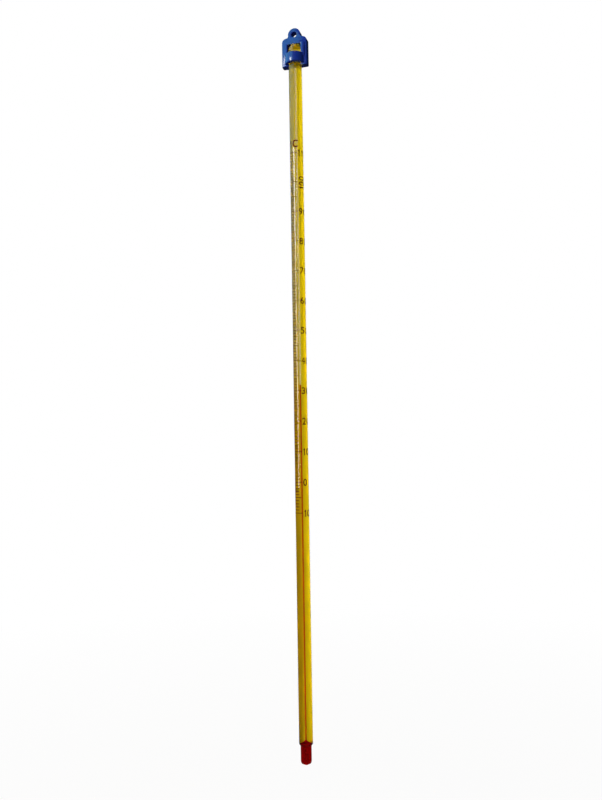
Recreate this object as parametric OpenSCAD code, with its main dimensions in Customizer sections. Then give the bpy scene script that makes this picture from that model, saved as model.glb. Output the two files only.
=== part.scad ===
// Solid-stem laboratory thermometer with an enamel back and a moulded anti-roll cap.
// The origin is the tip of the bulb. +Z runs up the stem and the scale faces -Y.
// All sizes are in millimetres.

/* [Glass] */
// Overall length of the glass, from the tip of the bulb to the top of the dome
glass_length = 305; // [300:1:312]
// Diameter of the stem
stem_d = 5.7; // [5.5:0.1:6.0]
// Diameter of the bulb
bulb_d = 4.5; // [4.3:0.1:4.7]
// Length of the bulb, from its tip to the seam with the stem
bulb_length = 8.2; // [7.5:0.1:9]
// Wall of the bulb
bulb_wall = 0.35; // [0.3:0.05:0.4]
// Radius of the shoulder where the stem is drawn down to the bulb
shoulder_r = 1; // [0.8:0.1:1.1]

/* [Bore] */
// Thickness of the flat capillary, front to back
bore_t = 0.19; // [0.17:0.01:0.21]
// Height of the funnel that leads from the reservoir into the capillary
funnel_h = 2.8; // [2.2:0.1:3.4]
// Length of the expansion chamber at the top of the capillary
chamber_h = 4; // [3:0.5:5]
// Diameter of the expansion chamber
chamber_d = 1.2; // [1:0.1:1.4]
// Glass left between the expansion chamber and the top of the dome
chamber_cover = 3.5; // [3:0.5:4]

/* [Enamel] */
// Radius of the inner face of the enamel strip
enamel_r = 2; // [1.9:0.05:2.1]
// Thickness of the enamel strip
enamel_t = 0.35; // [0.2:0.05:0.35]
// Angle that the enamel strip covers behind the capillary
enamel_angle = 130; // [100:5:150]
// Height of the lower end of the enamel strip
enamel_start = 8.6; // [8.6:0.1:12]
// Distance from the upper end of the enamel strip to the top of the dome
enamel_end_gap = 3; // [3:0.5:6]

/* [Scale] */
// Lowest graduation, in degrees Celsius
scale_min = -10; // [-10:10:0]
// Highest graduation, in degrees Celsius
scale_max = 110; // [50:10:110]
// Height of the lowest graduation above the tip of the bulb
scale_start = 102.9; // [95:0.1:110]
// Length of the stem that one degree takes
degree_h = 1.275; // [1.2:0.0125:1.3]
// Thickness of a line along the stem
line_t = 0.25; // [0.15:0.01:0.3]
// Height of the fired pigment above the glass
line_raise = 0.03; // [0.02:0.01:0.04]
// Angle where every line starts, left of the front
line_left = 68; // [60:1:75]
// Angle where the single degree lines end, left of the front
one_degree_end = 26; // [20:1:30]
// Angle where the five degree lines end, left of the front
five_degree_end = 8; // [4:1:15]
// Angle where the ten degree lines end, right of the front
ten_degree_end = 4; // [0:1:8]

/* [Spirit] */
// Temperature shown at rest, in degrees Celsius
reading = 32; // [0:1:50]
// Volume that the spirit gains for each degree, as a share of its volume
expansion = 0.00105; // [0.001:0.00001:0.0011]
// Length of the top stretch of the column, which carries the meniscus
head_h = 24; // [22:1:32]
// Depth of the hollow of the meniscus
meniscus_h = 0.06; // [0.04:0.01:0.08]

/* [Cap] */
// Angle by which the face of the cap is turned from the front of the scale
cap_turn = 17; // [-90:1:90]
// Radial clearance between the stem and the collar
cap_fit = 0.03; // [0.02:0.01:0.06]
// Height of the cap's feet above the tip of the bulb, below the top of the glass
cap_drop = 9.9; // [9.7:0.1:10]
// Distance from the axis to the flat back of the cap
cap_back = 2.1; // [2:0.1:2.4]
// Distance from the axis to the front of the wings and the hanging eye
wing_front = 1.1; // [0.9:0.1:1.3]
// Full width of the cap across its wings
cap_w = 11.4; // [11.1:0.1:11.7]
// Radius of the edges between the faces and the flanks of the wings
wing_edge_r = 0.7; // [0.4:0.1:1]
// Height of the shoulders above the feet
shoulder_h = 12.5; // [12.4:0.05:12.8]
// Radius of the shoulders
cap_shoulder_r = 2.25; // [2:0.05:2.4]
// Outer radius of the hanging eye
eye_r = 2.75; // [2.6:0.05:2.9]
// Radius of the hole in the hanging eye
eye_hole_r = 1.25; // [1:0.05:1.4]
// Height of the hole above the feet
eye_h = 13.8; // [13.7:0.1:14.2]
// Radius of the corner between the eye and a shoulder
eye_fillet_r = 0.8; // [0.5:0.1:0.9]
// Distance from the axis to the front of the frame round the window, proud of the wings
frame_front = 1.7; // [1.7:0.1:2]
// Width of the frame
frame_w = 9.3; // [9:0.1:9.6]
// Height of the frame's lower end above the feet, behind the collar
frame_start = 3.4; // [3:0.1:3.8]
// Height of the top of the frame above the feet
frame_top = 10.9; // [10.7:0.1:11.2]
// Radius of the upper corners of the frame
frame_upper_r = 2.2; // [1.6:0.1:2.4]
// Radius of the lower corners of the frame
frame_lower_r = 1.2; // [0.8:0.1:1.4]
// Radius of the edges of the frame's front
frame_edge_r = 0.35; // [0.2:0.05:0.5]
// Outer diameter of the collar
collar_d = 8.7; // [8.4:0.1:8.8]
// Height of the collar's lower edge above the feet
collar_start = 0.6; // [0.4:0.1:0.8]
// Height of the collar
collar_h = 4.4; // [4.3:0.1:4.5]
// Radius of the collar's edges
collar_edge_r = 0.35; // [0.2:0.05:0.5]
// Width of the window that shows the top of the glass
window_w = 6.1; // [5.9:0.1:6.3]
// Height of the window
window_h = 4.4; // [4.4:0.1:4.6]
// Radius of the window's upper corners
window_r = 0.5; // [0.3:0.1:0.8]

/* [Hidden] */

$fn = 96;
eps = 0.01;

stem_r = stem_d / 2;
bulb_r = bulb_d / 2;
reservoir_r = bulb_r - bulb_wall;
dome_z = glass_length - stem_r;
funnel_top = bulb_length + funnel_h;
chamber_top = glass_length - chamber_cover;
bore_top = chamber_top - chamber_h / 2;
enamel_top = glass_length - enamel_end_gap;

// The stem narrows by a hair just below the cap, where its top was fire polished
polish_start = 290;
polish_taper = 2;
polish_t = 0.02;

// One degree of the scale holds what the bulb's spirit gains in one degree,
// and that area sets the width of the flat capillary
funnel_volume = PI * pow(reservoir_r, 2) * funnel_h * 3 / 8;
bulb_volume = PI * pow(reservoir_r, 2) * (bulb_length - bulb_r)
    + 2 / 3 * PI * pow(reservoir_r, 3) + funnel_volume;
bore_area = expansion * bulb_volume / degree_h;
bore_w = (bore_area - PI * pow(bore_t, 2) / 4) / bore_t + bore_t;

// The spirit stands this far off the wall of the capillary
film = 0.01;
column_top = scale_start + (reading - scale_min) * degree_h;
head_start = column_top - head_h;

cap_base = glass_length - cap_drop;
cap_r = cap_w / 2;
frame_r = frame_w / 2;
socket_r = stem_r + cap_fit;
collar_top = collar_start + collar_h;
eye_top = eye_h + eye_r;
wing_t = wing_front + cap_back;
// Centre of a shoulder's arc
arc_x = cap_r - cap_shoulder_r;
arc_z = shoulder_h - cap_shoulder_r;
// Centre of the fillet that touches the side of the eye and the shoulder's arc
fillet_x = eye_r + eye_fillet_r;
fillet_z = arc_z + sqrt(pow(cap_shoulder_r + eye_fillet_r, 2) - pow(fillet_x - arc_x, 2));
// Where the fillet meets the shoulder's arc
meet_x = arc_x + (fillet_x - arc_x) * cap_shoulder_r / (cap_shoulder_r + eye_fillet_r);

// Radius of the reservoir's funnel at a share t of its height: a round shoulder below, a spike above
function funnel_r(t) = bore_t / 2 + (reservoir_r - bore_t / 2) * (1 + cos(180 * t)) / 2;

// Cross-section of the flat capillary, with round ends, taken in by a gap all round
module bore_section(gap = 0) {
    end_r = bore_t / 2 - gap;
    span = bore_w - bore_t;
    square([span, 2 * end_r], center = true);
    for (side = [-1, 1])
        translate([side * span / 2, 0])
            circle(r = end_r);
}

// The space inside the bulb, with the funnel that leads up to the capillary
module reservoir() {
    steps = 12;
    rotate_extrude() {
        intersection() {
            translate([0, bulb_r])
                circle(r = reservoir_r);
            translate([0, bulb_wall])
                square([reservoir_r, reservoir_r]);
        }
        translate([0, bulb_r])
            square([reservoir_r, bulb_length - bulb_r]);
        polygon(concat(
            [[0, funnel_top], [0, bulb_length]],
            [for (i = [0:steps]) [funnel_r(i / steps), bulb_length + funnel_h * i / steps]]
        ));
    }
}

// The expansion chamber: a short tube with two round ends
module expansion_chamber() {
    half_d = chamber_d / 2;
    translate([0, 0, chamber_top - chamber_h + half_d]) {
        sphere(r = half_d);
        cylinder(r = half_d, h = chamber_h - chamber_d);
    }
    translate([0, 0, chamber_top - half_d])
        sphere(r = half_d);
}

// The strip of enamel behind the capillary
module enamel_band() {
    rotate([0, 0, 90 - enamel_angle / 2])
        rotate_extrude(angle = enamel_angle)
            translate([enamel_r, enamel_start])
                square([enamel_t, enamel_top - enamel_start]);
}

// Half of the stem's outline: the drawn-down shoulder, the rod and the fire-polished top
module stem_outline() {
    translate([stem_r - shoulder_r, bulb_length + shoulder_r])
        circle(r = shoulder_r);
    translate([0, bulb_length])
        square([stem_r - shoulder_r, shoulder_r]);
    polygon([
        [0, bulb_length + shoulder_r], [stem_r, bulb_length + shoulder_r],
        [stem_r, polish_start], [stem_r - polish_t, polish_start + polish_taper],
        [stem_r - polish_t, dome_z], [0, dome_z]
    ]);
}

module glass_stem() {
    color([0.82, 0.90, 0.90, 0.35])
        difference() {
            union() {
                rotate_extrude()
                    stem_outline();
                translate([0, 0, dome_z])
                    sphere(r = stem_r - polish_t);
            }
            reservoir();
            translate([0, 0, funnel_top - 0.5])
                linear_extrude(height = bore_top - funnel_top + 0.5)
                    bore_section();
            expansion_chamber();
            enamel_band();
        }
}

module glass_bulb() {
    color([0.82, 0.90, 0.90, 0.35])
        difference() {
            union() {
                translate([0, 0, bulb_r])
                    sphere(r = bulb_r);
                translate([0, 0, bulb_r])
                    cylinder(r = bulb_r, h = bulb_length - bulb_r);
            }
            reservoir();
        }
}

module enamel_strip() {
    color([0.88, 0.74, 0.05])
        enamel_band();
}

module bulb_spirit() {
    color([0.62, 0.02, 0.06])
        reservoir();
}

module spirit_thread() {
    color([0.70, 0.03, 0.06])
        translate([0, 0, funnel_top])
            linear_extrude(height = head_start - funnel_top)
                bore_section(film);
}

module spirit_meniscus() {
    color([0.70, 0.03, 0.06])
        difference() {
            translate([0, 0, head_start])
                linear_extrude(height = head_h)
                    bore_section(film);
            // The spirit wets the glass, so its top is hollow
            translate([0, 0, column_top + bore_w / 2])
                rotate([90, 0, 0])
                    cylinder(r = bore_w / 2 + meniscus_h, h = bore_w, center = true);
        }
}

// One line of the scale: a thin arc of fired pigment at the height of its temperature
module scale_line(temperature, end_angle) {
    translate([0, 0, scale_start + (temperature - scale_min) * degree_h - line_t / 2])
        rotate([0, 0, -90 - line_left])
            rotate_extrude(angle = line_left + end_angle)
                translate([stem_r, 0])
                    square([line_raise, line_t]);
}

module degree_lines() {
    color([0.30, 0.14, 0.05])
        for (t = [scale_min:scale_max])
            if (t % 5 != 0)
                scale_line(t, -one_degree_end);
}

module five_degree_lines() {
    color([0.30, 0.14, 0.05])
        for (t = [scale_min + 5:10:scale_max])
            scale_line(t, -five_degree_end);
}

module ten_degree_lines() {
    color([0.30, 0.14, 0.05])
        for (t = [scale_min:10:scale_max])
            scale_line(t, ten_degree_end);
}

// Outline of the cap from the front: feet, rounded shoulders and the hanging eye
module cap_front() {
    translate([-cap_r, 0])
        square([cap_w, arc_z]);
    translate([-arc_x, arc_z])
        square([2 * arc_x, cap_shoulder_r]);
    translate([-eye_r, arc_z])
        square([2 * eye_r, eye_h - arc_z]);
    translate([0, eye_h])
        circle(r = eye_r);
    for (side = [0, 1])
        mirror([side, 0]) {
            translate([arc_x, arc_z])
                circle(r = cap_shoulder_r);
            difference() {
                translate([0, arc_z])
                    square([meet_x, fillet_z - arc_z]);
                translate([fillet_x, fillet_z])
                    circle(r = eye_fillet_r);
                translate([fillet_x, fillet_z - eps])
                    square([eye_fillet_r, eye_fillet_r]);
            }
        }
}

// Outline of the wings from above: flat faces and rounded flanks
module wing_plan() {
    corner_x = cap_r - wing_edge_r;
    corner_y = wing_t / 2 - wing_edge_r;
    translate([0, (cap_back - wing_front) / 2]) {
        square([2 * corner_x, wing_t], center = true);
        square([cap_w, 2 * corner_y], center = true);
        for (x = [-corner_x, corner_x], y = [-corner_y, corner_y])
            translate([x, y])
                circle(r = wing_edge_r);
    }
}

// The wings with the hanging eye: one plate that fills both of its outlines
module cap_wings() {
    intersection() {
        rotate([90, 0, 0])
            translate([0, 0, -cap_back])
                linear_extrude(height = wing_t)
                    cap_front();
        linear_extrude(height = eye_top)
            wing_plan();
    }
}

// Outline of the frame from the front, with rounded corners
module frame_outline() {
    upper_x = frame_r - frame_upper_r;
    upper_z = frame_top - frame_upper_r;
    lower_x = frame_r - frame_lower_r;
    lower_z = frame_start + frame_lower_r;
    translate([-frame_r, lower_z])
        square([frame_w, upper_z - lower_z]);
    translate([-upper_x, upper_z])
        square([2 * upper_x, frame_upper_r]);
    translate([-lower_x, frame_start])
        square([2 * lower_x, frame_lower_r]);
    for (side = [-1, 1]) {
        translate([side * upper_x, upper_z])
            circle(r = frame_upper_r);
        translate([side * lower_x, lower_z])
            circle(r = frame_lower_r);
    }
}

// Outline of the frame from above, with rounded front edges
module frame_plan() {
    corner_x = frame_r - frame_edge_r;
    translate([-frame_r, -frame_front + frame_edge_r])
        square([frame_w, frame_front - frame_edge_r]);
    translate([-corner_x, -frame_front])
        square([2 * corner_x, frame_front]);
    for (x = [-corner_x, corner_x])
        translate([x, -frame_front + frame_edge_r])
            circle(r = frame_edge_r);
}

// Outline of the frame from the side, with rounded front edges
module frame_side() {
    height = frame_top - frame_start;
    translate([-frame_front + frame_edge_r, frame_start])
        square([frame_front - frame_edge_r, height]);
    translate([-frame_front, frame_start + frame_edge_r])
        square([frame_front, height - 2 * frame_edge_r]);
    for (z = [frame_start + frame_edge_r, frame_top - frame_edge_r])
        translate([-frame_front + frame_edge_r, z])
            circle(r = frame_edge_r);
}

// The frame round the window fills its three outlines at once
module cap_frame() {
    intersection() {
        rotate([90, 0, 0])
            linear_extrude(height = frame_front)
                frame_outline();
        linear_extrude(height = frame_top)
            frame_plan();
        rotate([90, 0, 90])
            linear_extrude(height = frame_w, center = true)
                frame_side();
    }
}

// The ring that grips the stem, with rounded edges
module cap_collar() {
    collar_r = collar_d / 2;
    rotate_extrude()
        translate([0, collar_start]) {
            square([collar_r - collar_edge_r, collar_h]);
            translate([0, collar_edge_r])
                square([collar_r, collar_h - 2 * collar_edge_r]);
            for (z = [collar_edge_r, collar_h - collar_edge_r])
                translate([collar_r - collar_edge_r, z])
                    circle(r = collar_edge_r);
        }
}

// Outline of the window, with rounded upper corners
module window_outline() {
    side = window_w / 2 - window_r;
    translate([-window_w / 2, collar_top])
        square([window_w, window_h - window_r]);
    translate([-side, collar_top])
        square([2 * side, window_h]);
    for (x = [-side, side])
        translate([x, collar_top + window_h - window_r])
            circle(r = window_r);
}

module anti_roll_cap() {
    color([0.16, 0.36, 0.68])
        translate([0, 0, cap_base])
            rotate([0, 0, -cap_turn])
                difference() {
                    union() {
                        cap_wings();
                        cap_frame();
                        cap_collar();
                    }
                    // Socket for the stem, with a round end for the dome of the glass
                    translate([0, 0, -1])
                        cylinder(r = socket_r, h = cap_drop - stem_r + 1);
                    translate([0, 0, cap_drop - stem_r])
                        sphere(r = socket_r);
                    rotate([90, 0, 0])
                        linear_extrude(height = cap_w, center = true)
                            window_outline();
                    translate([0, 0, eye_h])
                        rotate([90, 0, 0])
                            cylinder(r = eye_hole_r, h = cap_w, center = true);
                }
}

glass_stem();
glass_bulb();
enamel_strip();
bulb_spirit();
spirit_thread();
spirit_meniscus();
degree_lines();
five_degree_lines();
ten_degree_lines();
anti_roll_cap();
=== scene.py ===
"""Looks of a solid-stem laboratory thermometer: glass, enamel, spirit, fired marks and moulded cap."""

import logging
import math
from dataclasses import dataclass, field
from enum import Enum

import bmesh
import bpy
from mathutils import Matrix, Vector


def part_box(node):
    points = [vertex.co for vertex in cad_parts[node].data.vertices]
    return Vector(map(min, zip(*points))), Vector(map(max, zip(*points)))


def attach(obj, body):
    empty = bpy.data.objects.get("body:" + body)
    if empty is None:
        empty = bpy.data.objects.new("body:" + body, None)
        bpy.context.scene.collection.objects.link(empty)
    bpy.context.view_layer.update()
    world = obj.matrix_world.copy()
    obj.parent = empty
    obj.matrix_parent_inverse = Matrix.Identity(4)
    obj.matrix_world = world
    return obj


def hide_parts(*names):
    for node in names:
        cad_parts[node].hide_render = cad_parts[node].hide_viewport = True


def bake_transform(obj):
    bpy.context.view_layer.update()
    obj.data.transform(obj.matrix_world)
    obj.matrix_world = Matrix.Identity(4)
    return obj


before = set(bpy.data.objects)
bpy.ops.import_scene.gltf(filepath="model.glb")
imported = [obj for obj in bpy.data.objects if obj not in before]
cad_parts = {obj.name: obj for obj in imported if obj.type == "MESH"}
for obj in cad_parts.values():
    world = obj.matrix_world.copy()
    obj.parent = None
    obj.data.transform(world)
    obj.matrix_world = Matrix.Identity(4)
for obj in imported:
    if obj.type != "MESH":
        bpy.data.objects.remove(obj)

LOG = logging.getLogger("thermometer")
MM = 0.001
# Points of an outline that are closer than this are merged, in metres
WELD = 0.0000005
# Tolerance of the places by which points and faces are picked, in millimetres
SLACK = 0.01
BAR_SIDES = 24
# The middle of a noise's range, which it seldom leaves
NOISE_RANGE = (0.3, 0.7)
# Between none and one of a ray's counts
SOME = 0.5
WHITE = (1, 1, 1, 1)
# Sockets of the Mix node share their names, so they are picked by number
FACTOR, NUMBER_A, NUMBER_B, COLOUR_A, COLOUR_B = 0, 2, 3, 6, 7
NUMBER_OUT, COLOUR_OUT = 0, 2

Piece = bpy.types.Object
Material = bpy.types.Material
Socket = bpy.types.NodeSocket
Point2 = tuple[float, float]
Span = tuple[float, float]
Triple = tuple[float, float, float]
Colour = tuple[float, float, float]


class Body(Enum):
    """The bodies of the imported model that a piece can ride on."""

    CAP = "cap"
    GLASSWARE = "thermometer"
    COLUMN = "column_head"


class Slot(Enum):
    """Names of the material slots."""

    GLASS = "clear_glass"
    ENAMEL = "yellow_enamel"
    SPIRIT = "red_spirit"
    PIGMENT = "fired_pigment"
    PLASTIC = "blue_plastic"


# Node trees


class Nodes:
    """A small hand for building one node tree."""

    def __init__(self, tree: bpy.types.NodeTree) -> None:
        """Starts from an empty tree.

        Args:
            tree: The node tree to fill.
        """
        self.tree = tree
        tree.nodes.clear()

    def add(self, kind: str, inputs: dict | None = None, **settings: object) -> bpy.types.Node:
        """Adds a node.

        Args:
            kind: The node's type name.
            inputs: Input name or number to a value or to another node's output.
            **settings: Attributes of the node.

        Returns:
            The new node.
        """
        node = self.tree.nodes.new(kind)
        for name, value in settings.items():
            setattr(node, name, value)
        for name, value in (inputs or {}).items():
            if isinstance(value, Socket):
                self.tree.links.new(value, node.inputs[name])
            else:
                node.inputs[name].default_value = value
        return node

    def place(self, scale: Triple) -> Socket:
        """Object coordinates of the piece, scaled along its axes.

        Args:
            scale: Repeats per metre along X, Y and Z.

        Returns:
            The vector output.
        """
        where = self.add("ShaderNodeTexCoord")
        mapping = self.add("ShaderNodeMapping", {"Vector": where.outputs["Object"], "Scale": scale})
        return mapping.outputs["Vector"]

    def noise(self, scale: Triple, detail: float = 3.0) -> Socket:
        """Noise in object space.

        Args:
            scale: Repeats per metre along X, Y and Z.
            detail: Octaves of finer noise.

        Returns:
            The noise value.
        """
        node = self.add("ShaderNodeTexNoise", {"Vector": self.place(scale), "Scale": 1.0, "Detail": detail})
        return node.outputs["Fac"]

    def ramp(self, value: Socket, source: Span, target: Span = (0.0, 1.0), soft: bool = False) -> Socket:
        """Maps one range of values onto another and clamps the result.

        Args:
            value: The value to map.
            source: The range that it comes from.
            target: The range that it goes to.
            soft: Whether the result eases in and out between the ends.

        Returns:
            The mapped value.
        """
        node = self.add("ShaderNodeMapRange", {
            "Value": value,
            "From Min": source[0], "From Max": source[1], "To Min": target[0], "To Max": target[1],
        }, interpolation_type="SMOOTHSTEP" if soft else "LINEAR")
        return node.outputs["Result"]

    def spread(self, noise: Socket, target: Span = (0.0, 1.0)) -> Socket:
        """Maps the middle of a noise's range onto another range."""
        return self.ramp(noise, NOISE_RANGE, target)

    def blend(self, share: Socket, a: Colour, b: Colour) -> Socket:
        """Mixes two colours.

        Args:
            share: Share of the second colour.
            a: First colour.
            b: Second colour.

        Returns:
            The mixed colour.
        """
        node = self.add("ShaderNodeMix", data_type="RGBA")
        self.tree.links.new(share, node.inputs[FACTOR])
        node.inputs[COLOUR_A].default_value = (*a, 1)
        node.inputs[COLOUR_B].default_value = (*b, 1)
        return node.outputs[COLOUR_OUT]

    def choose(self, share: Socket, a: Socket | float, b: Socket | float) -> Socket:
        """Mixes two numbers.

        Args:
            share: Share of the second number.
            a: First number.
            b: Second number.

        Returns:
            The mixed number.
        """
        node = self.add("ShaderNodeMix", {FACTOR: share, NUMBER_A: a, NUMBER_B: b}, data_type="FLOAT")
        return node.outputs[NUMBER_OUT]

    def maths(self, operation: str, *values: Socket | float) -> Socket:
        """Works out a number.

        Args:
            operation: The Math node's operation.
            *values: The numbers that it takes.

        Returns:
            The result.
        """
        return self.add("ShaderNodeMath", dict(enumerate(values)), operation=operation).outputs[0]

    def along(self, direction: Socket, axis: Vector) -> Socket:
        """How far a direction points along an axis.

        Args:
            direction: The direction, of unit length.
            axis: The axis, of unit length.

        Returns:
            The cosine of the angle between them.
        """
        node = self.add("ShaderNodeVectorMath", {0: direction, 1: axis}, operation="DOT_PRODUCT")
        return node.outputs["Value"]

    def bump(self, height: Socket, strength: float, distance: float) -> Socket:
        """A bumped normal.

        Args:
            height: Height of the relief.
            strength: Share of the relief that is used.
            distance: Depth of the relief in metres.

        Returns:
            The normal.
        """
        node = self.add("ShaderNodeBump", {"Height": height, "Strength": strength, "Distance": distance})
        return node.outputs["Normal"]

    def end(self, surface: Socket, volume: Socket | None = None) -> None:
        """Joins the surface and the volume to the output.

        Args:
            surface: The surface shader.
            volume: The volume shader, or None.
        """
        out = self.add("ShaderNodeOutputMaterial", {"Surface": surface})
        if volume is not None:
            self.tree.links.new(volume, out.inputs["Volume"])


def new_material(name: str) -> tuple[Material, Nodes]:
    """Makes a node material.

    Args:
        name: The material's name.

    Returns:
        The material and the hand for its tree.
    """
    material = bpy.data.materials.new(name)
    material.use_nodes = True
    return material, Nodes(material.node_tree)


# Finishes


@dataclass(frozen=True)
class ClearGlass:
    """Drawn glass: clear, with faint draw lines along the stem and a few smears."""

    ior: float = 1.5
    clear: Colour = (1.0, 1.0, 1.0)
    cloudy: Colour = (0.97, 0.985, 0.98)
    cloud_scale: Triple = (60.0, 60.0, 25.0)
    smear: float = 0.02
    smear_scale: Triple = (260.0, 260.0, 70.0)
    draw_line_scale: Triple = (1500.0, 1500.0, 4.0)
    draw_line_share: float = 0.35
    draw_line_depth: float = 0.0000003

    def make(self) -> Material:
        """Makes the material.

        Returns:
            The material.
        """
        material, n = new_material("clear_glass")
        draw_lines = n.noise(self.draw_line_scale, detail=2)
        shader = n.add("ShaderNodeBsdfPrincipled", {
            "Base Color": n.blend(n.noise(self.cloud_scale), self.cloudy, self.clear),
            "Roughness": n.spread(n.noise(self.smear_scale, detail=4), (0.0, self.smear)),
            "IOR": self.ior,
            "Transmission Weight": 1.0,
            "Normal": n.bump(draw_lines, self.draw_line_share, self.draw_line_depth),
        })
        n.end(shader.outputs[0])
        return material


@dataclass(frozen=True)
class WettedGlass:
    """The inner wall that spirit wets, and the fused seam: neither shows as a surface."""

    def make(self) -> Material:
        """Makes the material.

        Returns:
            The material.
        """
        material, n = new_material("wetted_glass")
        shader = n.add("ShaderNodeBsdfTransparent", {"Color": WHITE})
        n.end(shader.outputs[0])
        return material


@dataclass(frozen=True)
class YellowEnamel:
    """Opaque yellow enamel with long drawn streaks and fine pits."""

    light: Colour = (0.86, 0.70, 0.006)
    deep: Colour = (0.78, 0.58, 0.003)
    streak_scale: Triple = (1400.0, 1400.0, 18.0)
    roughness: Span = (0.45, 0.6)
    pit_scale: Triple = (5200.0, 5200.0, 3400.0)
    pit_share: float = 0.25
    pit_depth: float = 0.00001

    def make(self) -> Material:
        """Makes the material.

        Returns:
            The material.
        """
        material, n = new_material("yellow_enamel")
        streaks = n.noise(self.streak_scale, detail=4)
        shader = n.add("ShaderNodeBsdfPrincipled", {
            "Base Color": n.blend(n.spread(streaks), self.light, self.deep),
            "Roughness": n.spread(streaks, self.roughness),
            "Specular IOR Level": 0.0,
            "Normal": n.bump(n.noise(self.pit_scale, detail=2), self.pit_share, self.pit_depth),
        })
        n.end(shader.outputs[0])
        return material


@dataclass(frozen=True)
class BulbSpirit:
    """Clear red spirit, seen through its whole depth in the bulb."""

    tint: Colour = (0.80, 0.05, 0.07)
    shade: float = 0.93
    swirl_scale: Triple = (500.0, 500.0, 300.0)
    absorbed: Colour = (0.90, 0.05, 0.10)
    density: float = 4200.0

    def make(self) -> Material:
        """Makes the material.

        Returns:
            The material.
        """
        material, n = new_material("bulb_spirit")
        darker = tuple(self.shade * c for c in self.tint)
        shader = n.add("ShaderNodeBsdfPrincipled", {
            "Base Color": n.blend(n.noise(self.swirl_scale), self.tint, darker),
            "Roughness": 0.0,
            "IOR": 1.0,
            "Transmission Weight": 1.0,
        })
        volume = n.add("ShaderNodeVolumeAbsorption", {"Color": (*self.absorbed, 1), "Density": self.density})
        n.end(shader.outputs[0], volume.outputs[0])
        return material


@dataclass(frozen=True)
class ThreadSpirit:
    """The thin red thread, orange as the yellow behind it makes it look."""

    light: Colour = (0.66, 0.15, 0.001)
    deep: Colour = (0.52, 0.08, 0.001)
    swirl_scale: Triple = (3000.0, 3000.0, 90.0)
    roughness: float = 0.25

    def make(self) -> Material:
        """Makes the material.

        Returns:
            The material.
        """
        material, n = new_material("thread_spirit")
        shader = n.add("ShaderNodeBsdfPrincipled", {
            "Base Color": n.blend(n.noise(self.swirl_scale), self.light, self.deep),
            "Roughness": self.roughness,
            "Specular IOR Level": 0.0,
        })
        n.end(shader.outputs[0])
        return material


@dataclass(frozen=True)
class FiredPigment:
    """Dark red-brown ceramic ink with uneven density."""

    dark: Colour = (0.060, 0.002, 0.002)
    thin: Colour = (0.150, 0.006, 0.003)
    grain_scale: Triple = (6000.0, 6000.0, 6000.0)
    grain_share: float = 0.4
    grain_depth: float = 0.00001
    roughness: Span = (0.45, 0.7)
    gloss: float = 0.02

    def make(self) -> Material:
        """Makes the material.

        Returns:
            The material.
        """
        material, n = new_material("fired_pigment")
        grain = n.noise(self.grain_scale, detail=4)
        shader = n.add("ShaderNodeBsdfPrincipled", {
            "Base Color": n.blend(n.spread(grain), self.dark, self.thin),
            "Roughness": n.spread(grain, self.roughness),
            "Specular IOR Level": self.gloss,
            "Normal": n.bump(grain, self.grain_share, self.grain_depth),
        })
        n.end(shader.outputs[0])
        return material


@dataclass(frozen=True)
class BluePlastic:
    """Moulded blue plastic: smooth and slightly mottled, with the fine texture of its mould."""

    light: Colour = (0.010, 0.036, 0.29)
    deep: Colour = (0.006, 0.019, 0.21)
    mottle_scale: Triple = (420.0, 420.0, 420.0)
    roughness: Span = (0.08, 0.14)
    gloss: float = 0.62
    texture_scale: Triple = (9000.0, 9000.0, 9000.0)
    texture_share: float = 0.3
    texture_depth: float = 0.00002

    def make(self) -> Material:
        """Makes the material.

        Returns:
            The material.
        """
        material, n = new_material("blue_plastic")
        mottle = n.noise(self.mottle_scale, detail=5)
        shader = n.add("ShaderNodeBsdfPrincipled", {
            "Base Color": n.blend(n.spread(mottle), self.light, self.deep),
            "Roughness": n.spread(mottle, self.roughness),
            "Specular IOR Level": self.gloss,
            "Normal": n.bump(n.noise(self.texture_scale), self.texture_share, self.texture_depth),
        })
        n.end(shader.outputs[0])
        return material


@dataclass
class Finishes:
    """One material of each finish."""

    glass: Material = field(default_factory=ClearGlass().make)
    wetted: Material = field(default_factory=WettedGlass().make)
    enamel: Material = field(default_factory=YellowEnamel().make)
    bulb_spirit: Material = field(default_factory=BulbSpirit().make)
    thread_spirit: Material = field(default_factory=ThreadSpirit().make)
    pigment: Material = field(default_factory=FiredPigment().make)
    plastic: Material = field(default_factory=BluePlastic().make)


# Modelling


def object_mode() -> None:
    """Leaves edit mode if it is on."""
    if bpy.context.object is not None and bpy.context.object.mode != "OBJECT":
        bpy.ops.object.mode_set(mode="OBJECT")


def select_nothing() -> None:
    """Leaves edit mode and selects no object."""
    object_mode()
    bpy.ops.object.select_all(action="DESELECT")


def select_points() -> None:
    """Selects all points of the edited piece."""
    bpy.ops.mesh.select_all(action="SELECT")


def only(obj: Piece) -> None:
    """Selects one object and nothing else.

    Args:
        obj: The object to select.
    """
    select_nothing()
    obj.select_set(True)
    bpy.context.view_layer.objects.active = obj


def settle(obj: Piece, name: str) -> Piece:
    """Puts a finished piece's place into its mesh and names it.

    Args:
        obj: The piece.
        name: Its name.

    Returns:
        The same object.
    """
    only(obj)
    bpy.ops.object.transform_apply(location=True, rotation=True, scale=True)
    obj.name = name
    obj.data.name = name
    return obj


def close_up(obj: Piece, distance: float = WELD) -> None:
    """Merges doubled points and turns all faces outwards.

    Args:
        obj: The piece.
        distance: Points closer than this become one, in metres.
    """
    only(obj)
    bpy.ops.object.mode_set(mode="EDIT")
    select_points()
    bpy.ops.mesh.remove_doubles(threshold=distance)
    bpy.ops.mesh.normals_make_consistent(inside=False)
    bpy.ops.object.mode_set(mode="OBJECT")


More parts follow.
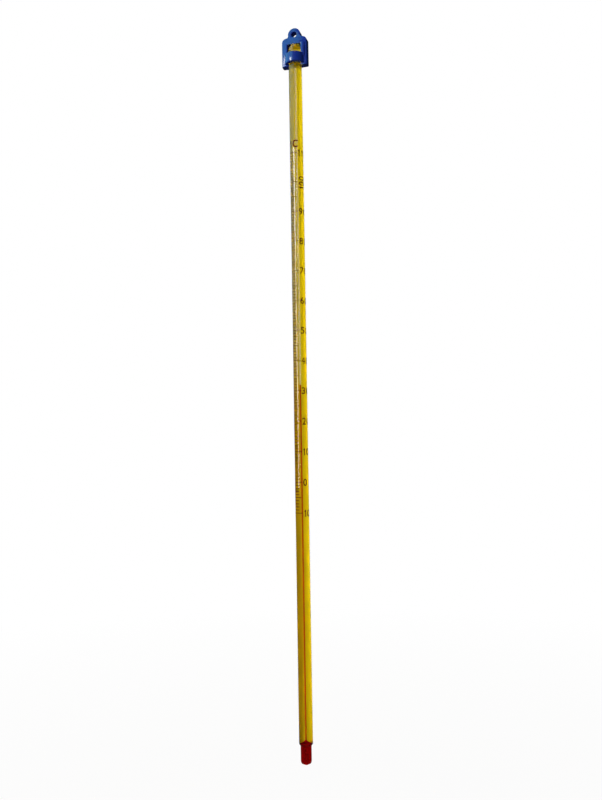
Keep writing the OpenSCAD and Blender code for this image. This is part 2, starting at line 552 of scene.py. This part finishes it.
def paint(obj: Piece, sharp: float, *materials: Material) -> None:
    """Gives a piece its materials and shades it smooth, except over sharp edges.

    Args:
        obj: The piece.
        sharp: The sharpest angle that is still smooth, in degrees.
        *materials: The materials, the piece's main one first.
    """
    obj.data.materials.clear()
    for material in materials:
        obj.data.materials.append(material)
    only(obj)
    bpy.ops.object.shade_smooth_by_angle(angle=math.radians(sharp))


def apply_modifier(obj: Piece, kind: str, **settings: object) -> None:
    """Adds a modifier to a piece and applies it.

    Args:
        obj: The piece.
        kind: The modifier's type.
        **settings: The modifier's attributes.
    """
    only(obj)
    modifier = obj.modifiers.new(kind.lower(), kind)
    for key, value in settings.items():
        setattr(modifier, key, value)
    bpy.ops.object.modifier_apply(modifier=modifier.name)


def drawn_line(points: list[Point2]) -> Piece:
    """Draws a chain of edges in the XZ plane by extruding one point.

    Args:
        points: X and Z of each point, in millimetres.

    Returns:
        The object, in edit mode.
    """
    select_nothing()
    start = (points[0][0] * MM, 0, points[0][1] * MM)
    bpy.ops.mesh.primitive_plane_add(size=MM, location=start)
    bpy.ops.object.mode_set(mode="EDIT")
    bpy.ops.mesh.select_mode(type="VERT")
    select_points()
    bpy.ops.mesh.merge(type="CENTER")
    for (x0, z0), (x1, z1) in zip(points, points[1:]):
        step = ((x1 - x0) * MM, 0, (z1 - z0) * MM)
        bpy.ops.mesh.extrude_region_move(TRANSFORM_OT_translate={"value": step})
    return bpy.context.object


def filled(points: list[Point2]) -> Piece:
    """Draws a closed outline in the XZ plane and fills it with one face.

    Args:
        points: X and Z of each corner, in millimetres.

    Returns:
        The object, in edit mode.
    """
    obj = drawn_line([*points, points[0]])
    select_points()
    bpy.ops.mesh.remove_doubles(threshold=WELD)
    select_points()
    bpy.ops.mesh.edge_face_add()
    return obj


def turned(name: str, points: list[Point2], sides: int) -> Piece:
    """Spins an outline that starts and ends on the axis round it.

    Args:
        name: The piece's name.
        points: Radius and height of each point, in millimetres.
        sides: Sides of the round piece.

    Returns:
        The closed piece.
    """
    obj = drawn_line(points)
    select_points()
    bpy.ops.mesh.spin(steps=sides, angle=math.tau, center=(0, 0, 0), axis=(0, 0, 1))
    settle(obj, name)
    close_up(obj)
    return obj


def arc(centre: Point2, radius: float, start: float, end: float, steps: int) -> list[Point2]:
    """Points on an arc.

    Args:
        centre: The arc's centre.
        radius: Its radius.
        start: First angle, in degrees from +X.
        end: Last angle.
        steps: Number of chords.

    Returns:
        The points, with both ends.
    """
    angles = [math.radians(start + (end - start) * i / steps) for i in range(steps + 1)]
    return [(centre[0] + radius * math.cos(a), centre[1] + radius * math.sin(a)) for a in angles]


def flat_bar(name: str, width: float, thickness: float, low: float, high: float) -> Piece:
    """A bar with the capillary's section: flat, with round sides.

    Args:
        name: The piece's name.
        width: Width from side to side, in millimetres.
        thickness: Thickness front to back.
        low: Height of its lower end.
        high: Height of its upper end.

    Returns:
        The bar.
    """
    select_nothing()
    bpy.ops.mesh.primitive_cylinder_add(
        vertices=BAR_SIDES, radius=thickness / 2 * MM, depth=(high - low) * MM,
        location=(0, 0, (low + high) / 2 * MM), rotation=(0, 0, math.pi / BAR_SIDES),
    )
    obj = settle(bpy.context.object, name)
    bpy.ops.object.mode_set(mode="EDIT")
    mesh = bmesh.from_edit_mesh(obj.data)
    for side in (1, -1):
        for v in mesh.verts:
            v.select = v.co.x * side > 0
        mesh.select_flush_mode()
        bmesh.update_edit_mesh(obj.data)
        bpy.ops.transform.translate(value=(side * (width - thickness) / 2 * MM, 0, 0))
    bpy.ops.object.mode_set(mode="OBJECT")
    return obj


def carry(obj: Piece, body: Body, slot: Slot, *nodes: str) -> Piece:
    """Lets a piece ride on a body and hides the CAD nodes it stands for.

    Args:
        obj: The piece.
        body: The body it rides on.
        slot: Not used.
        *nodes: CAD nodes that it replaces.

    Returns:
        The same object.
    """
    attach(obj, body.value)
    if nodes:
        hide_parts(*nodes)
    return obj


# The glass


@dataclass
class Glassware:
    """The glass stem and the glass bulb, fused to each other. Sizes are in millimetres."""

    finishes: Finishes
    length: float = 305.0
    stem_r: float = 2.848
    bulb_r: float = 2.25
    wall: float = 0.35
    # Height of the seam, and what it stands proud of the bulb over its flare
    seam: float = 8.2
    bead: float = 0.02
    flare: float = 0.4
    shoulder_r: float = 1.0
    shoulder_start: float = -60.0
    # The fire-polished end: where it starts and ends, and how much narrower it is
    polish: Triple = (290.0, 292.0, 0.02)
    # Heights of rings of points on the straight parts
    bulb_ring: float = 5.0
    stem_rings: tuple[float, ...] = (30.0, 90.0, 150.0, 210.0)
    funnel_top: float = 11.0
    tip_gap: float = 0.02
    bore_w: float = 0.447
    bore_t: float = 0.19
    bore_reach: float = 0.15
    # The expansion chamber's lower end, upper end and radius
    room: Triple = (297.5, 301.5, 0.6)
    sides: int = 128
    room_sides: int = 32
    end_steps: int = 24
    inner_steps: int = 20
    funnel_steps: int = 16
    shoulder_steps: int = 12
    room_steps: int = 10
    sharp: float = 28.0

    @property
    def inner_r(self) -> float:
        """Radius of the bulb's inner wall."""
        return self.bulb_r - self.wall

    def funnel(self, inset: float) -> list[Point2]:
        """The reservoir's outline above the seam, from its widest to its spike.

        Args:
            inset: How far inside the glass wall the outline runs.

        Returns:
            Points from the seam up.
        """
        steps = self.funnel_steps
        widest = self.inner_r - inset
        tip = self.bore_t / 2 - min(inset, self.tip_gap)
        return [
            (tip + (widest - tip) * (1 + math.cos(math.pi * i / steps)) / 2,
             self.seam + (self.funnel_top - self.seam) * i / steps)
            for i in range(steps + 1)
        ]

    def build_bulb(self) -> Piece:
        """Turns the bulb as a cup, open at the seam.

        Returns:
            The bulb.
        """
        centre = (0, self.bulb_r)
        outline = [
            *arc(centre, self.bulb_r, -90, 0, self.end_steps),
            (self.bulb_r, self.bulb_ring), (self.bulb_r, self.seam - self.flare),
            (self.bulb_r + self.bead, self.seam), (self.inner_r, self.seam), (self.inner_r, self.bulb_ring),
            *arc(centre, self.inner_r, 0, -90, self.inner_steps),
        ]
        obj = turned("glass_bulb_blown", outline, self.sides)
        self.dress(obj)
        return carry(obj, Body.GLASSWARE, Slot.GLASS, "glass_bulb")

    def build_stem(self) -> Piece:
        """Turns the stem, then cuts the capillary and the expansion chamber into it.

        Returns:
            The stem.
        """
        start, end, hair = self.polish
        dome_r = self.stem_r - hair
        shoulder = (self.stem_r - self.shoulder_r, self.seam + self.shoulder_r)
        outline = [
            (0, self.funnel_top), *reversed(self.funnel(0.0)),
            (self.bulb_r + self.bead, self.seam),
            *arc(shoulder, self.shoulder_r, self.shoulder_start, 0, self.shoulder_steps),
            *((self.stem_r, z) for z in self.stem_rings),
            (self.stem_r, start), (dome_r, end),
            *arc((0, self.length - dome_r), dome_r, 0, 90, self.end_steps),
        ]
        obj = turned("glass_stem_drawn", outline, self.sides)
        low, high, radius = self.room
        bore_start, bore_end = self.funnel_top - self.bore_reach, (low + high) / 2
        bore = flat_bar("bore_cutter", self.bore_w, self.bore_t, bore_start, bore_end)
        room = turned("chamber_cutter", [
            *arc((0, low + radius), radius, -90, 0, self.room_steps),
            *arc((0, high - radius), radius, 0, 90, self.room_steps),
        ], self.room_sides)
        for cutter in (room, bore):
            apply_modifier(obj, "BOOLEAN", operation="DIFFERENCE", solver="EXACT", object=cutter)
            bpy.data.objects.remove(cutter)
        self.dress(obj)
        return carry(obj, Body.GLASSWARE, Slot.GLASS, "glass_stem")

    def dress(self, obj: Piece) -> None:
        """Gives the glass its finish, and the wetted wall and the seam theirs.

        Args:
            obj: The glass piece.
        """
        paint(obj, self.sharp, self.finishes.glass, self.finishes.wetted)
        for face in obj.data.polygons:
            centre, normal = face.center / MM, face.normal
            # The outer wall of the bulb's round end lies within that radius too, and stays clear
            within = math.hypot(centre.x, centre.y) < self.inner_r + SLACK
            inward = centre.x * normal.x + centre.y * normal.y < 0
            in_bulb = within and centre.z < self.seam
            in_funnel = within and inward and self.seam <= centre.z < self.funnel_top + SLACK
            at_seam = abs(centre.z - self.seam) < SLACK
            if in_bulb or in_funnel or at_seam:
                face.material_index = 1


@dataclass
class EnamelStrip:
    """The yellow strip that is drawn into the stem behind the capillary. Sizes are in millimetres."""

    finishes: Finishes
    inner_r: float = 2.0
    thickness: float = 0.345
    span: float = 130.0
    low: float = 8.6
    # Heights of rings of points on its straight part
    rings: tuple[float, ...] = (9.2, 10.1, 60.0, 120.0, 180.0, 240.0)
    # Its upper end bends inwards under the stem's dome, up to an angle
    dome_z: float = 302.17
    dome_r: float = 2.5
    dome_end: float = 68.0
    dome_steps: int = 10
    steps: int = 56
    # The lower end's lift and its waves: depth, waves a turn and phase
    lift: float = 0.1
    waves: tuple[Triple, ...] = ((0.09, 5.0, 1.0), (0.06, 13.0, 0.0))
    sharp: float = 40.0

    def outline(self) -> list[Point2]:
        """The strip's section along the stem.

        Returns:
            The corners, up its inside and down its outside.
        """
        outer, centre = self.inner_r + self.thickness, (0, self.dome_z)
        begin = math.degrees(math.acos(outer / self.dome_r))
        heights = (self.low, *self.rings)
        return [
            *((self.inner_r, z) for z in heights),
            *arc(centre, self.dome_r - self.thickness, begin, self.dome_end, self.dome_steps),
            *arc(centre, self.dome_r, self.dome_end, begin, self.dome_steps),
            *((outer, z) for z in reversed(heights)),
        ]

    def build(self) -> Piece:
        """Spins the strip's section round the back of the stem, then wavers its lower end.

        Returns:
            The strip.
        """
        obj = settle(filled(self.outline()), "enamel_strip_drawn")
        obj.data.transform(Matrix.Rotation(math.radians(90 + self.span / 2), 4, "Z"))
        bpy.ops.object.mode_set(mode="EDIT")
        select_points()
        angle = math.radians(self.span)
        bpy.ops.mesh.spin(steps=self.steps, angle=angle, center=(0, 0, 0), axis=(0, 0, 1))
        bpy.ops.object.mode_set(mode="OBJECT")
        close_up(obj)
        for v in obj.data.vertices:
            if v.co.z < (self.low + SLACK) * MM:
                angle = math.atan2(v.co.x, v.co.y)
                wave = sum(depth * math.sin(turns * angle + phase) for depth, turns, phase in self.waves)
                v.co.z += MM * (wave + self.lift)
        paint(obj, self.sharp, self.finishes.enamel)
        return carry(obj, Body.GLASSWARE, Slot.ENAMEL, "enamel_strip")


@dataclass
class SpiritFill:
    """The red spirit: the bulb's fill, the thread that changes length, and its head."""

    finishes: Finishes
    glassware: Glassware
    # Gap to the bulb's wall, and what the thread is wider than its bore, in millimetres
    gap: float = 0.012
    proud: float = 0.012
    # How far the thread reaches into its neighbours, and the length that moves with its head
    overlap: float = 0.1
    firm: float = 0.5
    # The meniscus: its depth, the share of each step down, and the rim of a step in bore thicknesses
    meniscus: float = 0.05
    steps_down: Span = (0.6, 0.4)
    rim: float = 0.2
    # A face whose normal rises more than this is the bar's upper end
    upper: float = 0.9
    sides: int = 96
    sharp: float = 40.0

    def bar(self, name: str, low: float, high: float) -> Piece:
        """A length of the thread, which fills the bore.

        Args:
            name: The piece's name.
            low: Height of its lower end, in millimetres.
            high: Height of its upper end.

        Returns:
            The bar.
        """
        g = self.glassware
        return flat_bar(name, g.bore_w + self.proud, g.bore_t + self.proud, low, high)

    def build_bulb_fill(self) -> Piece:
        """Turns the spirit in the bulb with its spike.

        Returns:
            The fill.
        """
        g = self.glassware
        radius = g.inner_r - self.gap
        outline = [
            *arc((0, g.bulb_r), radius, -90, 0, g.end_steps), (radius, g.bulb_ring),
            *g.funnel(self.gap), (0, g.funnel_top),
        ]
        obj = turned("bulb_spirit_fill", outline, self.sides)
        paint(obj, self.sharp, self.finishes.bulb_spirit)
        return carry(obj, Body.GLASSWARE, Slot.SPIRIT, "bulb_spirit")

    def build_thread(self) -> Piece:
        """A bar from the spike to the head.

        Returns:
            The thread.
        """
        low, high = self.glassware.funnel_top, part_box("spirit_meniscus")[0].z / MM
        obj = self.bar("spirit_thread_run", low - self.overlap, high)
        paint(obj, self.sharp, self.finishes.thread_spirit)
        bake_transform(obj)
        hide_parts("spirit_thread")
        return obj

    def build_head(self) -> Piece:
        """The top stretch of the column, with its hollow end.

        Returns:
            The head.
        """
        low, high = (corner.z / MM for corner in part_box("spirit_meniscus"))
        obj = self.bar("spirit_head", low - self.overlap, high)
        bpy.ops.object.mode_set(mode="EDIT")
        bpy.ops.mesh.select_mode(type="FACE")
        mesh = bmesh.from_edit_mesh(obj.data)
        for f in mesh.faces:
            f.select = f.normal.z > self.upper
        bmesh.update_edit_mesh(obj.data)
        rim = self.glassware.bore_t * self.rim * MM
        for share in self.steps_down:
            bpy.ops.mesh.inset(thickness=rim, depth=-self.meniscus * share * MM)
        bpy.ops.object.mode_set(mode="OBJECT")
        paint(obj, self.sharp, self.finishes.thread_spirit)
        return carry(obj, Body.COLUMN, Slot.SPIRIT, "spirit_meniscus")


@dataclass(frozen=True)
class UnitSign:
    """One sign of the unit: its size, stroke and place, each as FiredMarks has it."""

    words: str
    height: float
    width: float
    stroke: float
    angle: float
    middle: float


@dataclass
class FiredMarks:
    """The numbers and the unit, fired into the front of the stem.

    Sizes are in millimetres. Angles are in degrees right of the front.
    """

    finishes: Finishes
    radius: float = 2.85
    raised: float = 0.03
    digit_h: float = 2.9
    digit_w: float = 1.72
    # The figure one: its stroke, and its flag's corners from the middle of its top, in strokes
    one_stroke: float = 0.40
    flag: tuple[Point2, ...] = ((-0.3, 0.0), (-1.5, -1.6), (-1.3, -2.3), (-0.5, -1.7))
    pitch: float = 2.3
    pitch_of_one: float = 1.6
    first_digit: float = 29.0
    first_of_three: float = 22.5
    # The size that the font is set in, and what is added to its lines, in metres
    font_size: float = 0.01
    stroke: float = 0.0001
    # Digits that nothing is added to
    light_digits: str = "4"
    curve_steps: int = 6
    # Cuts on each side of a sign's middle, and their distance, so that it bends round the stem
    cuts: int = 7
    cut: float = 0.2
    # Merge distance in metres
    weld: float = 0.0000002
    # The number that is written up the stem
    upright: int = 100
    upright_angle: float = 43.0
    upright_drop: float = 2.2
    below_line: float = 0.1
    scale_low: int = -10
    scale_high: int = 110
    labelled: int = 10
    scale_start: float = 102.9
    degree: float = 1.275
    unit: tuple[UnitSign, ...] = (
        UnitSign("C", 3.3, 2.35, 0.00015, -11.0, 259.85),
        UnitSign("o", 1.15, 1.15, 0.0001, -60.0, 260.65),
    )
    sharp: float = 30.0

    def height_of(self, temperature: float) -> float:
        """Height of a temperature on the stem, in millimetres."""
        return self.scale_start + (temperature - self.scale_low) * self.degree

    def one(self) -> Piece:
        """Draws the figure one with its flag, flat, in the XZ plane.

        Returns:
            The flat mesh object.
        """
        half, top = self.one_stroke / 2, self.digit_h / 2
        flag = ((x * self.one_stroke, top + z * self.one_stroke) for x, z in self.flag)
        return settle(filled([(half, -top), (half, top), *flag, (-half, -top)]), "one")

    def sign(self, words: str, height: float, width: float, stroke: float) -> Piece:
        """Sets one sign flat, centred on the origin, in the XZ plane.

        Args:
            words: The sign.
            height: Its height in millimetres.
            width: Its width in millimetres.
            stroke: What is added to the font's lines, in metres at the font's size.

        Returns:
            The flat mesh object.
        """
        select_nothing()
        bpy.ops.object.text_add(location=(0, 0, 0))
        text = bpy.context.object
        text.data.body = words
        text.data.size = self.font_size
        text.data.offset = stroke
        text.data.resolution_u = self.curve_steps
        only(text)
        bpy.ops.object.convert(target="MESH")
        obj = bpy.context.object
        xs = [v.co.x for v in obj.data.vertices]
        ys = [v.co.y for v in obj.data.vertices]
        middle = Vector(((min(xs) + max(xs)) / 2, (min(ys) + max(ys)) / 2, 0))
        fit = Vector((width * MM / (max(xs) - min(xs)), height * MM / (max(ys) - min(ys)), 1))
        for v in obj.data.vertices:
            place = v.co - middle
            v.co = Vector((place.x * fit.x, 0, place.y * fit.y))
        return obj

    def wrap(self, obj: Piece, angle: float, height: float, turn: float = 0.0) -> None:
        """Bends a flat sign round the stem and gives it its thickness.

        Args:
            obj: The flat sign.
            angle: Where its middle goes.
            height: Height of its middle.
            turn: Turn of the sign on the stem.
        """
        only(obj)
        bpy.ops.object.mode_set(mode="EDIT")
        for i in range(-self.cuts, self.cuts + 1):
            at = i * self.cut * MM
            select_points()
            bpy.ops.mesh.bisect(plane_co=(at, 0, 0), plane_no=(1, 0, 0))
            if turn:
                select_points()
                bpy.ops.mesh.bisect(plane_co=(0, 0, at), plane_no=(0, 0, 1))
        bpy.ops.object.mode_set(mode="OBJECT")
        c, s = math.cos(math.radians(turn)), math.sin(math.radians(turn))
        radius = self.radius * MM
        for v in obj.data.vertices:
            x, z = v.co.x * c - v.co.z * s, v.co.x * s + v.co.z * c
            a = math.radians(angle) + x / radius
            v.co = Vector((radius * math.sin(a), -radius * math.cos(a), z + height * MM))
        close_up(obj, self.weld)
        mesh = obj.data
        if sum(f.normal.x * f.center.x + f.normal.y * f.center.y for f in mesh.polygons) < 0:
            mesh.flip_normals()
        apply_modifier(obj, "SOLIDIFY", thickness=self.raised * MM, offset=1.0)

    def join(self, parts: list[Piece], name: str) -> Piece:
        """Joins the signs of one label and dresses them.

        Args:
            parts: The wrapped signs.
            name: The label's name.

        Returns:
            The label.
        """
        select_nothing()
        for part in parts:
            part.select_set(True)
        bpy.context.view_layer.objects.active = parts[0]
        if len(parts) > 1:
            bpy.ops.object.join()
        obj = settle(bpy.context.object, name)
        paint(obj, self.sharp, self.finishes.pigment)
        return carry(obj, Body.GLASSWARE, Slot.PIGMENT)

    def build_number(self, temperature: int) -> Piece:
        """Writes one number from left to right, or up the stem.

        Args:
            temperature: The number, in degrees Celsius.

        Returns:
            The label.
        """
        digits = str(abs(temperature))
        middle = self.height_of(temperature) - self.below_line
        first = self.first_of_three if len(digits) == 3 else self.first_digit
        parts, along = [], 0.0
        for digit in digits:
            stroke = 0.0 if digit in self.light_digits else self.stroke
            flat = self.one() if digit == "1" else self.sign(digit, self.digit_h, self.digit_w, stroke)
            if temperature == self.upright:
                self.wrap(flat, self.upright_angle, middle - self.upright_drop + along, 90)
            else:
                self.wrap(flat, first + math.degrees(along / self.radius), middle)
            parts.append(flat)
            along += self.pitch_of_one if digit == "1" else self.pitch
        return self.join(parts, f"number_{'minus_' if temperature < 0 else ''}{abs(temperature)}")

    def build_numbers(self) -> list[Piece]:
        """One label for each ten degrees."""
        return [self.build_number(t) for t in range(self.scale_low, self.scale_high + 1, self.labelled)]

    def build_unit(self) -> Piece:
        """The degree sign and the letter C above the scale.

        Returns:
            The label.
        """
        parts = []
        for sign in self.unit:
            flat = self.sign(sign.words, sign.height, sign.width, sign.stroke)
            self.wrap(flat, sign.angle, sign.middle)
            parts.append(flat)
        return self.join(parts, "degree_celsius_sign")


@dataclass
class ScaleLines:
    """The fired lines of the scale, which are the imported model's own."""

    finishes: Finishes
    nodes: tuple[str, ...] = ("degree_lines", "five_degree_lines", "ten_degree_lines")

    def dress(self) -> list[Piece]:
        """Gives the lines the pigment's finish.

        Returns:
            The lines, one object for each node.
        """
        lines = [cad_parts[name] for name in self.nodes]
        for node in lines:
            node.data.materials.clear()
            node.data.materials.append(self.finishes.pigment)
        return lines


@dataclass
class AntiRollCap:
    """The moulded cap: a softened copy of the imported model's own."""

    finishes: Finishes
    # Width of a rounded edge in millimetres, and its segments
    edge: float = 0.22
    segments: int = 3
    # Merge distance in metres, and the angles of flat and of sharp edges in degrees
    weld: float = 0.000002
    flat: float = 0.6
    sharp: float = 35.0

    def build(self) -> Piece:
        """Copies the cap's mesh, merges it and rounds its sharp edges.

        Returns:
            The cap.
        """
        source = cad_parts["anti_roll_cap"]
        obj = bpy.data.objects.new("anti_roll_cap_moulded", source.data.copy())
        bpy.context.scene.collection.objects.link(obj)
        close_up(obj, self.weld)
        bpy.ops.object.mode_set(mode="EDIT")
        select_points()
        bpy.ops.mesh.dissolve_limited(angle_limit=math.radians(self.flat))
        bpy.ops.object.mode_set(mode="OBJECT")
        apply_modifier(
            obj, "BEVEL", width=self.edge * MM, segments=self.segments, limit_method="ANGLE",
            angle_limit=math.radians(self.sharp),
        )
        paint(obj, self.sharp, self.finishes.plastic)
        return carry(obj, Body.CAP, Slot.PLASTIC, "anti_roll_cap")


# The studio


@dataclass(frozen=True)
class Pane:
    """One pane of the window that the stem mirrors as a streak. Heights are in metres."""

    low: float
    high: float
    radiance: float
    tint: Colour


@dataclass
class Studio:
    """Floor, light and camera. Nothing here is part of the object.

    Lengths are in metres and angles in degrees. A reach says where a light or fade begins and is full,
    as a cosine or, for the floor, in metres.
    """

    # Camera
    distance: float = 0.3405
    camera_z: float = 0.1275
    aside: float = 0.000185
    pitch: float = 3.796
    roll: float = -0.924
    focal_px: float = 809.0
    picture_h: float = 800.0
    sensor: float = 36.0
    clip: Span = (0.01, 50.0)
    # Floor
    floor_z: float = -0.03
    floor_size: float = 12.0
    floor_level: float = 0.86
    floor_reach: Span = (0.1, 0.5)
    floor_white: Span = (0.93, 1.0)
    # Light that the room gives: a bright left side, a dim rest and a bounce from the front
    bright_side: Vector = field(default_factory=lambda: Vector((-1.0, 0.05, 0.35)))
    bright_reach: Span = (0.42, 0.56)
    bright: float = 1.0
    dim: float = 0.12
    bounce_from: Vector = field(default_factory=lambda: Vector((-0.37, -0.90, 0.22)))
    bounce_reach: Span = (0.93, 0.975)
    bounce: float = 3.8
    floor_bounce: float = 0.3
    # Room that glossy surfaces mirror. Its left side lies before two upright planes, each given by the
    # turn of its normal and by its softness
    mirrored_dim: float = 0.03
    mirrored_left: float = 1.5
    mirrored_tint: Colour = (0.25, 0.9, 1.0)
    mirrored_floor: float = 0.05
    left_ends: tuple[Span, ...] = ((-121.0, 0.03), (-45.0, 0.35))
    left_rise: Span = (0.02, 0.22)
    # Window
    window_azimuth: float = -50.5
    window_distance: float = 1.5
    window_width: float = 0.50
    panes: tuple[Pane, ...] = (
        Pane(0.61, 0.85, 14.5, (1.0, 0.98, 0.95)),
        Pane(0.05, 0.61, 12.5, (1.0, 0.85, 0.56)),
    )

    def build_camera(self) -> None:
        """Stands the camera where the photograph was taken from."""
        data = bpy.data.cameras.new("camera")
        data.sensor_width = self.sensor
        data.lens = self.focal_px / self.picture_h * self.sensor
        data.clip_start, data.clip_end = self.clip
        camera = bpy.data.objects.new("camera", data)
        bpy.context.scene.collection.objects.link(camera)
        turn = (
            Matrix.Rotation(math.radians(90 + self.pitch), 4, "X")
            @ Matrix.Rotation(math.radians(self.roll), 4, "Z")
        )
        camera.matrix_world = Matrix.Translation((self.aside, -self.distance, self.camera_z)) @ turn
        bpy.context.scene.camera = camera

    def seen_rays(self, n: Nodes) -> Socket:
        """One for rays that show the background, to the camera or through glass.

        Args:
            n: The node tree.

        Returns:
            The share, one or nought.
        """
        path = n.add("ShaderNodeLightPath").outputs
        direct = n.maths("LESS_THAN", path["Diffuse Depth"], SOME)
        through = n.maths("MULTIPLY", path["Is Transmission Ray"], direct)
        return n.maths("MAXIMUM", path["Is Camera Ray"], through)

    def mirror_rays(self, n: Nodes) -> Socket:
        """One for rays that a glossy surface mirrors, but not for those that glass lets through.

        Args:
            n: The node tree.

        Returns:
            The share, one or nought.
        """
        path = n.add("ShaderNodeLightPath").outputs
        inside = n.maths("ADD", path["Is Transmission Ray"], path["Diffuse Depth"])
        return n.maths("MULTIPLY", path["Is Glossy Ray"], n.maths("LESS_THAN", inside, SOME))

    def build_floor(self) -> None:
        """Lays a pale floor that turns white away from the object and keeps its shadow."""
        select_nothing()
        bpy.ops.mesh.primitive_plane_add(size=self.floor_size, location=(0, 0, self.floor_z))
        floor = bpy.context.object
        floor.name = "floor"
        material, n = new_material("floor")
        where = n.add("ShaderNodeTexCoord")
        away = n.add("ShaderNodeVectorMath", {0: where.outputs["Object"]}, operation="LENGTH")
        fade = n.ramp(away.outputs["Value"], self.floor_reach, self.floor_white)
        share = n.maths("MULTIPLY", fade, self.seen_rays(n))
        plain = n.choose(self.mirror_rays(n), 1.0, self.mirrored_floor)
        path = n.add("ShaderNodeLightPath")
        scattered = n.maths("GREATER_THAN", path.outputs["Diffuse Depth"], SOME)
        level = n.maths("MULTIPLY", n.choose(scattered, plain, self.floor_bounce), self.floor_level)
        matt = n.add("ShaderNodeBsdfDiffuse", {"Color": level})
        white = n.add("ShaderNodeEmission", {"Color": WHITE, "Strength": 1.0})
        mixed = n.add("ShaderNodeMixShader", {0: share, 1: matt.outputs[0], 2: white.outputs[0]})
        n.end(mixed.outputs[0])
        floor.data.materials.append(material)

    def room_light(self, n: Nodes, direction: Socket) -> Socket:
        """Light that the room gives from a direction.

        Args:
            n: The node tree.
            direction: The direction's vector.

        Returns:
            The light's level.
        """
        side = n.along(direction, self.bright_side.normalized())
        glow = n.ramp(side, self.bright_reach, (self.dim, self.bright), soft=True)
        front = n.along(direction, self.bounce_from.normalized())
        bounce = n.ramp(front, self.bounce_reach, (0.0, self.bounce), soft=True)
        return n.maths("ADD", glow, bounce)

    def mirrored_room(self, n: Nodes, direction: Socket) -> Socket:
        """What glossy surfaces mirror from a direction.

        Args:
            n: The node tree.
            direction: The direction's vector.

        Returns:
            The mirrored level.
        """
        ends = []
        for turn, width in self.left_ends:
            a = math.radians(turn)
            beyond = n.along(direction, Vector((math.sin(a), -math.cos(a), 0.0)))
            ends.append(n.ramp(beyond, (-width, width), soft=True))
        axes = n.add("ShaderNodeSeparateXYZ", {0: direction})
        rise = n.ramp(axes.outputs["Z"], self.left_rise, (0.0, self.mirrored_left), soft=True)
        return n.maths("MULTIPLY_ADD", n.maths("MULTIPLY", *ends), rise, self.mirrored_dim)

    def build_world(self) -> None:
        """White where it is seen, and a dimmer room for light and for mirrored rays."""
        world = bpy.data.worlds.new("studio")
        world.use_nodes = True
        bpy.context.scene.world = world
        n = Nodes(world.node_tree)
        direction = n.add("ShaderNodeTexCoord").outputs["Generated"]
        mirror = self.mirror_rays(n)
        level = n.choose(mirror, self.room_light(n, direction), self.mirrored_room(n, direction))
        strength = n.choose(self.seen_rays(n), level, 1.0)
        colour = n.blend(mirror, (1.0, 1.0, 1.0), self.mirrored_tint)
        light = n.add("ShaderNodeBackground", {"Color": colour, "Strength": strength})
        n.add("ShaderNodeOutputWorld", {"Surface": light.outputs[0]})

    def build_window(self) -> None:
        """Soft light from two panes, front left and a little above, as a window gives."""
        azimuth, away = math.radians(self.window_azimuth), self.window_distance
        for pane in self.panes:
            data = bpy.data.lights.new("window", "AREA")
            data.shape = "RECTANGLE"
            data.size, data.size_y = self.window_width, pane.high - pane.low
            data.color = pane.tint
            data.energy = pane.radiance * math.pi * data.size * data.size_y
            light = bpy.data.objects.new("window", data)
            bpy.context.scene.collection.objects.link(light)
            height = (pane.low + pane.high) / 2
            light.location = (away * math.sin(azimuth), -away * math.cos(azimuth), height)
            aim = Vector((0, 0, height)) - light.location
            light.rotation_euler = aim.to_track_quat("-Z", "Y").to_euler()

    def build(self) -> None:
        """Builds the whole studio."""
        bpy.context.scene.view_settings.view_transform = "Standard"
        bpy.context.scene.cycles.blur_glossy = 0.0
        self.build_camera()
        self.build_floor()
        self.build_world()
        self.build_window()


def main() -> None:
    """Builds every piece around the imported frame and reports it."""
    logging.basicConfig(level=logging.INFO, format="%(name)s: %(message)s")
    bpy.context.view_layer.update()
    Studio().build()
    finishes = Finishes()
    glassware = Glassware(finishes)
    spirit = SpiritFill(finishes, glassware)
    marks = FiredMarks(finishes)
    pieces = [
        glassware.build_bulb(),
        glassware.build_stem(),
        EnamelStrip(finishes).build(),
        spirit.build_bulb_fill(),
        spirit.build_thread(),
        spirit.build_head(),
        *ScaleLines(finishes).dress(),
        *marks.build_numbers(),
        marks.build_unit(),
        AntiRollCap(finishes).build(),
    ]
    for piece in pieces:
        LOG.info("%s: %d faces", piece.name, len(piece.data.polygons))
    object_mode()


if __name__ == "__main__":
    main()
